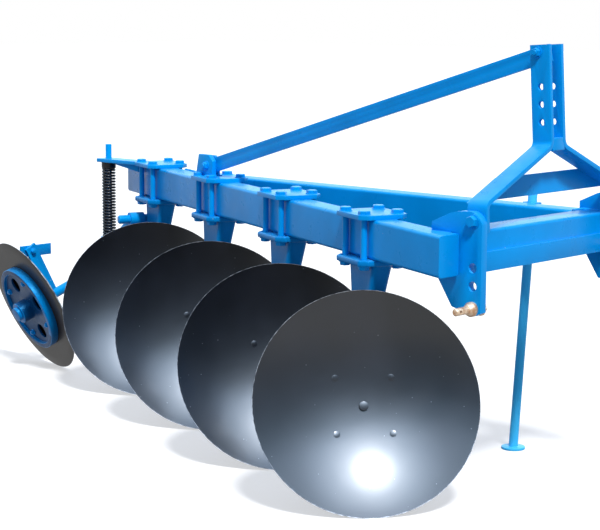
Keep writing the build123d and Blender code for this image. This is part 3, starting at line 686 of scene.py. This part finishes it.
def spun(name, profile, bright, centre, axis, materials, body, steps=180):
    """A shell turned from a closed profile of (radius, height); bright rings are bare steel."""
    side = axis.cross(up).normalized()
    place = Matrix((side, axis.cross(side), axis)).transposed().to_4x4()
    place.translation = centre
    points = [
        (r * math.cos(math.tau * i / steps), r * math.sin(math.tau * i / steps), h)
        for r, h in profile
        for i in range(steps)
    ]
    faces, finishes = [], []
    for ring in range(len(profile)):
        here, onward = ring * steps, (ring + 1) % len(profile) * steps
        for i in range(steps):
            j = (i + 1) % steps
            faces.append((here + i, onward + i, onward + j, here + j))
            finishes.append(1 if ring in bright else 0)
    mesh = bpy.data.meshes.new(name)
    mesh.from_pydata(points, [], faces)
    shell = bmesh.new()
    shell.from_mesh(mesh)
    bmesh.ops.recalc_face_normals(shell, faces=shell.faces)
    shell.to_mesh(mesh)
    shell.free()
    for material in materials:
        mesh.materials.append(material)
    mesh.polygons.foreach_set("material_index", finishes)
    mesh.polygons.foreach_set("use_smooth", [True] * len(faces))
    mesh.set_sharp_from_angle(angle=math.radians(24))
    mesh.transform(place)
    piece = shown(name, mesh)
    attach(piece, body)
    return piece


def paint_ring(piece, material, centre, axis, inner, outer, low, high):
    """Gives a second finish to a turned piece's faces within two radii and two heights."""
    piece.data.materials.append(material)
    for face in piece.data.polygons:
        height = (face.center - centre).dot(axis)
        out = (face.center - centre - axis * height).length
        face.material_index = int(inner < out < outer and low < height < high)


def ways_round(axis, angles):
    """Directions square to an axis, at angles from the level one."""
    side = axis.cross(up).normalized()
    return [
        side * math.cos(math.radians(angle)) + axis.cross(side) * math.sin(math.radians(angle))
        for angle in angles
    ]


lacquer = black_lacquer("black_lacquer", (0.0016, 0.0020, 0.0036), 0.30)
bare_steel = ground_steel()
disc_front = [(r, dish_height(r)) for r in stepped(eye, face_end, 26)]
disc_edge = [(rim - 0.0004, dish_height(0.3296)), (rim, -0.0006)]
disc_back = [(r, dish_height(r, wall)) for r in stepped(bevel_start, eye, 14)]
ground_rings = {len(disc_front) - 1, len(disc_front), len(disc_front) + 1}
for number, joint in enumerate(frame["joints"][:4], start=1):
    body = joint["child"]
    centre, axis = Vector(joint["pos_m"]), Vector(joint["axis"]).normalized()
    disc = spun(
        f"disc_pressed_{number}",
        disc_front + disc_edge + disc_back,
        ground_rings,
        centre,
        axis,
        [lacquer, bare_steel],
        body,
    )
    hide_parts(f"disc_{number}")
    seat_height = dish_height(disc_bolt_circle) - 0.0002
    seats = [
        centre + way * disc_bolt_circle + axis * seat_height
        for way in ways_round(axis, (45, 135, 225, 315))
    ]
    middle = centre + axis * (sphere - dish)
    fastened(
        f"disc_bolts_{number}",
        [(seat, (middle - seat).normalized()) for seat in seats],
        lacquer,
        body,
        sides=24,
        corner_radius=0.0095,
        head_height=0.0014,
        washer_radius=0.0112,
        washer_thickness=0.0006,
        thread_radius=0.004,
    )
    hub = eased(f"disc_hub_{number}", cast_azure, 0.002)
    paint_ring(hub, lacquer, centre, axis, 0.0, 0.015, -0.080, 0.0)

# Furrow wheel: a cast wheel with round openings in its web and a cap over the end of its axle,
# bolted to a sharp steel disc behind it. Its web and hub inside the rim get a darker enamel as painted shade.
wheel_joint = frame["joints"][4]
wheel_centre = Vector(wheel_joint["pos_m"])
wheel_axis = Vector(wheel_joint["axis"]).normalized()
wheel = eased("furrow_wheel", cast_azure, 0.002)
# A darker enamel on the web and hub inside the rim, as painted shade
painted_shade = enamel("painted_shade_enamel", (0.0005, 0.045, 0.15), grain=0.0016, roughness=0.3, dust=0.0)
paint_ring(wheel, painted_shade, wheel_centre, wheel_axis, 0.030, 0.151, -0.1, 0.060)
brown_lacquer = black_lacquer("brown_lacquer", (0.017, 0.011, 0.007), 0.36, coat=0.1)
furrow_disc = spun(
    "furrow_disc_ground",
    [
        (0.045, 0.0), (0.180, 0.0), (0.230, 0.0), (0.2735, 0.0), (0.2748, -0.0004),
        (0.275, -0.0010), (0.265, -0.008), (0.180, -0.008), (0.045, -0.008),
    ],
    {3, 4, 5},
    wheel_centre,
    wheel_axis,
    [brown_lacquer, bare_steel],
    "furrow_wheel_unit",
    144,
)
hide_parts("furrow_disc")
wheel_bolt_circle, web_front = 0.130, 0.020
fastened(
    "wheel_bolts",
    [
        (wheel_centre + way * wheel_bolt_circle + wheel_axis * web_front, wheel_axis)
        for way in ways_round(wheel_axis, (65, 155, 245, 335))
    ],
    azure,
    "furrow_wheel_unit",
    corner_radius=0.0105,
    head_height=0.008,
    washer_radius=0.0125,
    washer_thickness=0.002,
    thread_radius=0.006,
    thread_proud=0.003,
)

# Axle, arm and scraper: a bent arm carries the wheel's axle below the last standard, and a flat
# scraper blade is bolted to an upright bar on the axle so that it cleans the disc.
for node in ("wheel_axle", "wheel_arm", "pivot_bar", "scraper_blade", "spring_rod"):
    eased(node, azure, 0.0016)
blade_low, blade_high = corners("scraper_blade")
blade_bolt = Vector((blade_low.x + 0.100, blade_high.y, (blade_low.z + blade_high.z) / 2))
fastened(
    "scraper_bolt",
    [
        (blade_bolt + Vector((0, 0.010, 0)), Vector((0, 1, 0))),
        (blade_bolt - Vector((0, 0.008, 0)), Vector((0, -1, 0))),
    ],
    azure,
    corner_radius=0.0110,
    head_height=0.008,
    washer_radius=0.0130,
    washer_thickness=0.002,
    thread_radius=0.006,
    thread_proud=0.003,
    shank_length=0.006,
)

# Spring: a coil of black steel wire round the rod, closed by a flat ring at both ends, between
# the seat on the arm and the long clamp plate, with a pressed cap over its top turns.
wire_radius = 0.0047
coil_height = spring_high.z - spring_low.z
spring_tree, given, realize = node_tree(
    "coil_spring",
    {
        "Coil radius": 0.0225,
        "Wire radius": wire_radius,
        "Turns": 25.0,
        "Height": 0.28,
        "Top": 0.29,
    },
)
coil = added(
    spring_tree,
    "GeometryNodeCurveSpiral",
    {
        "Resolution": 28,
        "Rotations": given["Turns"],
        "Start Radius": given["Coil radius"],
        "End Radius": given["Coil radius"],
        "Height": given["Height"],
    },
)
end_ring = added(
    spring_tree,
    "GeometryNodeCurvePrimitiveCircle",
    {"Resolution": 32, "Radius": given["Coil radius"]},
)
wire_centres = added(spring_tree, "GeometryNodeJoinGeometry")
for curve, height in (
    (coil.outputs[0], given["Wire radius"]),
    (end_ring.outputs[0], given["Wire radius"]),
    (end_ring.outputs[0], given["Top"]),
):
    fed(spring_tree, wire_centres, {0: lifted(spring_tree, curve, height)})
wire = added(
    spring_tree,
    "GeometryNodeCurvePrimitiveCircle",
    {"Resolution": 14, "Radius": given["Wire radius"]},
)
drawn = added(
    spring_tree,
    "GeometryNodeCurveToMesh",
    {"Curve": wire_centres.outputs[0], "Profile Curve": wire.outputs[0], "Fill Caps": True},
)
fed(spring_tree, realize, {0: drawn.outputs[0]})
spring_steel = black_lacquer("spring_steel", (0.006, 0.006, 0.007), 0.34, coat=0.15)
spring = grown(
    "coil_spring",
    spring_tree,
    bpy.data.meshes.new("coil_spring"),
    {"Height": coil_height - 2 * wire_radius, "Top": coil_height - wire_radius},
    spring_steel,
    "frame",
)
spring.data.transform(Matrix.Translation((spring_middle.x, spring_middle.y, spring_low.z)))
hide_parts("spring")
fastened(
    "spring_cap",
    [(Vector((spring_middle.x, spring_middle.y, spring_high.z)), -up)],
    spring_steel,
    sides=40,
    corner_radius=0.0282,
    head_height=0.024,
    washer_radius=0.0290,
    thread_radius=0.012,
)

# Parking stand: a round leg in a square sleeve welded to the side beam, with a level foot. A
# screw with a cross handle clamps the leg at its height.
eased("stand_sleeve", azure, 0.0015)
# The leg's paler enamel is painted light, so that it looks sunlit where the beams' shadow falls on it
painted_light = enamel("painted_light_enamel", (0.06, 0.55, 1.0))
eased("stand_leg", painted_light, 0.0015)
sleeve_low, sleeve_high = corners("stand_sleeve")
sleeve_middle = (sleeve_low + sleeve_high) / 2
stand_up = Vector(frame["joints"][5]["axis"]).normalized()
fastened(
    "stand_screw",
    [(Vector((sleeve_low.x, sleeve_middle.y, sleeve_middle.z)), left_way)],
    azure,
    corner_radius=0.0138,
    head_height=0.012,
    washer_radius=0.0142,
    washer_thickness=0.001,
    thread_radius=0.006,
    thread_proud=0.022,
)
handle_out, handle_half = 0.031, 0.030
handle_middle = Vector((sleeve_low.x - handle_out, sleeve_middle.y, sleeve_middle.z))
fastened(
    "stand_handle",
    [(handle_middle + stand_up * handle_half, stand_up)],
    azure,
    sides=16,
    corner_radius=0.005,
    head_height=0.002,
    washer_radius=0.0048,
    washer_thickness=0.0005,
    thread_radius=0.0042,
    shank_length=2 * handle_half,
)
weld_half, sleeve_half = 0.05, 0.021
welds(
    "sleeve_welds",
    [
        [
            Vector((sleeve_high.x, sleeve_middle.y + end, sleeve_middle.z)) + stand_up * height
            for height in (-weld_half, weld_half)
        ]
        for end in (-sleeve_half, sleeve_half)
    ],
    azure,
)

# Floor: a plain floor that looks pure white and keeps the plough's shadow. What it throws up
# onto the plough is dimmer, and the gloss on the plough mirrors a pale yard instead.


def chosen(tree, ray, others, seen):
    """What one kind of ray sees, and what all other rays see."""
    kind = added(tree, "ShaderNodeLightPath").outputs[ray]
    return added(tree, "ShaderNodeMixShader", {"Fac": kind, 1: others, 2: seen}).outputs[0]


reach = 40
floor_mesh = bpy.data.meshes.new("floor")
floor_mesh.from_pydata(
    [(-reach, -reach, 0), (reach, -reach, 0), (reach, reach, 0), (-reach, reach, 0)],
    [],
    [(0, 1, 2, 3)],
)
floor = shown("floor", floor_mesh)
floor_white = bpy.data.materials.new("floor_white")
floor_white.use_nodes = True
floor_tree = floor_white.node_tree
seen_floor = fed(
    floor_tree,
    floor_tree.nodes["Principled BSDF"],
    {
        "Base Color": (0.6, 0.6, 0.6, 1),
        "Roughness": 0.9,
        "Specular IOR Level": 0.0,
        "Emission Color": (1, 1, 1, 1),
        "Emission Strength": 0.5,
    },
)
bounced = added(floor_tree, "ShaderNodeBsdfDiffuse", {"Color": (0.24, 0.25, 0.27, 1)})
yard = added(floor_tree, "ShaderNodeEmission", {"Color": (0.82, 0.84, 0.86, 1), "Strength": 1.0})
unseen = chosen(floor_tree, "Is Glossy Ray", bounced.outputs[0], yard.outputs[0])
floor_light = chosen(floor_tree, "Is Camera Ray", unseen, seen_floor.outputs[0])
fed(floor_tree, floor_tree.nodes["Material Output"], {"Surface": floor_light})
floor_mesh.materials.append(floor_white)

# Light: an even sky with a softened sun ahead and to the right. The discs mirror a brighter sky
# over a dim, uneven skyline, with a glow round the sun and a paler far side, and what shows
# behind the plough is white.
world = bpy.data.worlds.new("sky")
bpy.context.scene.world = world
world.use_nodes = True
sky_tree = world.node_tree
direction = added(sky_tree, "ShaderNodeTexCoord").outputs["Generated"]


def towards(way):
    """How far a direction of the sky leans to a way, from -1 to 1."""
    inputs = {0: direction, 1: way}
    return added(sky_tree, "ShaderNodeVectorMath", inputs, operation="DOT_PRODUCT").outputs["Value"]


height = added(sky_tree, "ShaderNodeSeparateXYZ", {"Vector": direction}).outputs["Z"]
ragged = maths(sky_tree, "MULTIPLY", noise(sky_tree, direction, 3.2, 4.0), 0.22)
over_skyline = maths(sky_tree, "SUBTRACT", maths(sky_tree, "ADD", height, 0.11), ragged)
mirrored = ramped(
    sky_tree,
    over_skyline,
    [
        (0.0, (0.20, 0.21, 0.22)),
        (0.16, (0.13, 0.15, 0.18)),
        (0.38, (0.10, 0.14, 0.19)),
        (0.55, (0.26, 0.38, 0.52)),
        (0.66, (0.55, 0.74, 1.0)),
        (0.88, (0.58, 0.76, 1.0)),
        (1.0, (0.40, 0.52, 0.72)),
    ],
)
sun_way = Vector((0.35, 0.55, 0.9)).normalized()
near_sun = ranged(sky_tree, towards(sun_way), 0.0, 1.0, 0.84, 1.0)
glow = maths(sky_tree, "MULTIPLY", maths(sky_tree, "POWER", near_sun, 2.0), 9.0)
far_side = ranged(sky_tree, towards((-0.74, -0.67, 0)), 0.0, 1.0, 0.1, 0.5)
mirrored_sky = added(
    sky_tree,
    "ShaderNodeBackground",
    {
        "Color": mixed(sky_tree, far_side, mirrored, (0.32, 0.42, 0.5)),
        "Strength": maths(sky_tree, "ADD", glow, 3.6),
    },
)
sky = fed(
    sky_tree, sky_tree.nodes["Background"], {"Color": (0.78, 0.86, 1, 1), "Strength": 0.6}
)
white = added(sky_tree, "ShaderNodeBackground", {"Color": (1, 1, 1, 1)})
unseen = chosen(sky_tree, "Is Glossy Ray", sky.outputs[0], mirrored_sky.outputs[0])
sky_light = chosen(sky_tree, "Is Camera Ray", unseen, white.outputs[0])
fed(sky_tree, sky_tree.nodes["World Output"], {"Surface": sky_light})

sun = bpy.data.lights.new("sun", "SUN")
sun.energy = 3.4
sun.angle = math.radians(9)
sun_object = shown("sun", sun)
sun_object.rotation_euler = (-sun_way).to_track_quat("-Z", "Y").to_euler()

# Camera: 1.45 m above the floor, ahead and to the right of the plough, where the photograph was
# taken. It is turned left from straight ahead, dips a little and is rolled a third of a degree.
camera_place = (4.21899, 4.34053, 1.45111)
camera_turn, camera_dip, camera_roll = 132.449, 8.395, 0.301
camera = bpy.data.cameras.new("camera")
camera.lens = 108
camera.sensor_width = 36
camera_object = shown("camera", camera)
camera_object.matrix_world = (
    Matrix.Translation(camera_place)
    @ Matrix.Rotation(math.radians(camera_turn), 4, "Z")
    @ Matrix.Rotation(math.radians(90 - camera_dip), 4, "X")
    @ Matrix.Rotation(math.radians(camera_roll), 4, "Z")
)
camera.clip_start, camera.clip_end = 0.1, 200
bpy.context.scene.camera = camera_object
bpy.context.scene.view_settings.view_transform = "Standard"
